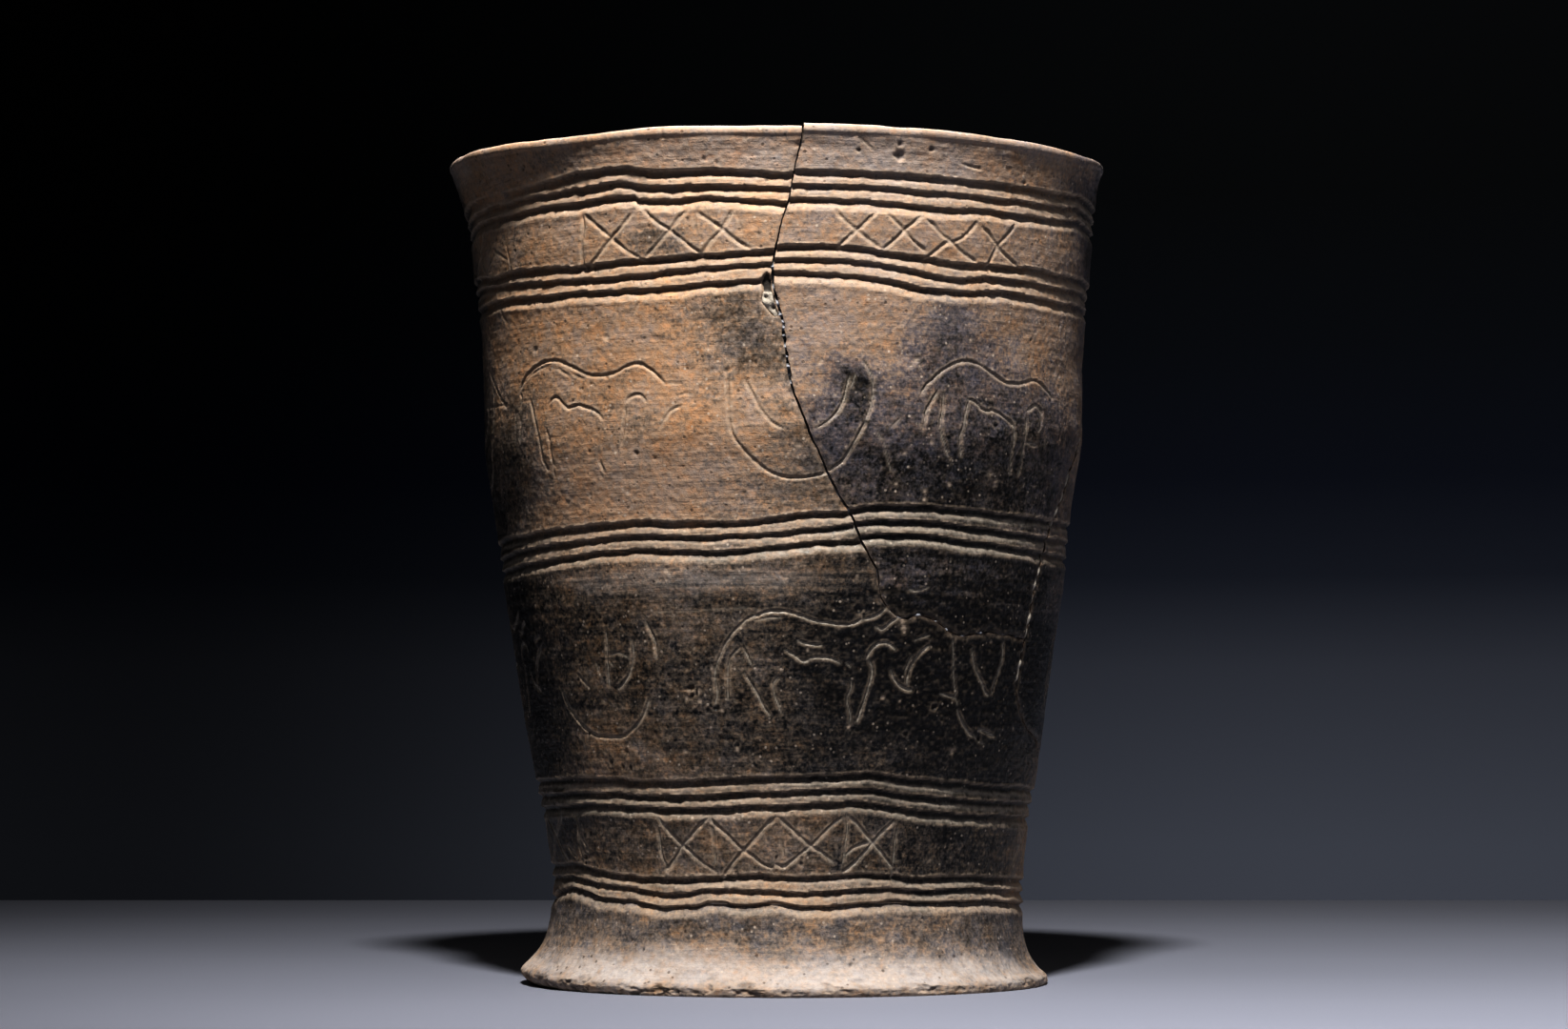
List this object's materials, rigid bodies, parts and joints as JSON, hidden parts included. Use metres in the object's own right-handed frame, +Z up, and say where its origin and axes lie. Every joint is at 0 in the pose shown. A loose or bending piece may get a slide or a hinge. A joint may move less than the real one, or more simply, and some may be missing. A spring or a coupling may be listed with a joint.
{
  "type": "pottery vase",
  "caption": "Hand-built fired clay beaker vase on a flared foot, with grooved bands, crosses, animals and discs cut in the wall, mended from sherds.",
  "frame": {"origin": "on the ground under the middle of the rim, the bottom centre of the bounding box; the foot's own centre is 2.2 mm to the +X side because the vase leans", "axes": "+Z up out of the mouth; -Y is the front, where the main join runs down from the rim; +X is to the right seen from the front"},
  "size_m": [0.1832, 0.1832, 0.2284],
  "materials": {
    "fired_clay_main": "unglazed, burnished, brown to grey with fire clouds",
    "fired_clay_front": "unglazed, burnished, grey-black with brown clouds",
    "fired_clay_side": "unglazed, burnished, dark grey-brown",
    "fired_clay_foot": "unglazed, worn, pale grey-buff with orange patches",
    "fired_clay_floor": "unglazed, rough, wiped by hand",
    "mending_adhesive": "dull dark resin, slightly sunk in the join",
    "side_join_filler": "pale plaster, crumbly, matt",
    "plaster_fill": "pale grey plaster, matt"
  },
  "bodies": {
    "root": {"main_wall_sherd": "fired_clay_main", "front_upper_sherd": "fired_clay_front", "right_side_sherd": "fired_clay_side", "foot_ring": "fired_clay_foot", "base_disc": "fired_clay_floor", "main_join_adhesive": "mending_adhesive", "belly_join_adhesive": "mending_adhesive", "rear_join_adhesive": "mending_adhesive", "side_join_adhesive": "side_join_filler", "crack_filler_patch": "plaster_fill"}
  },
  "joints": []
}
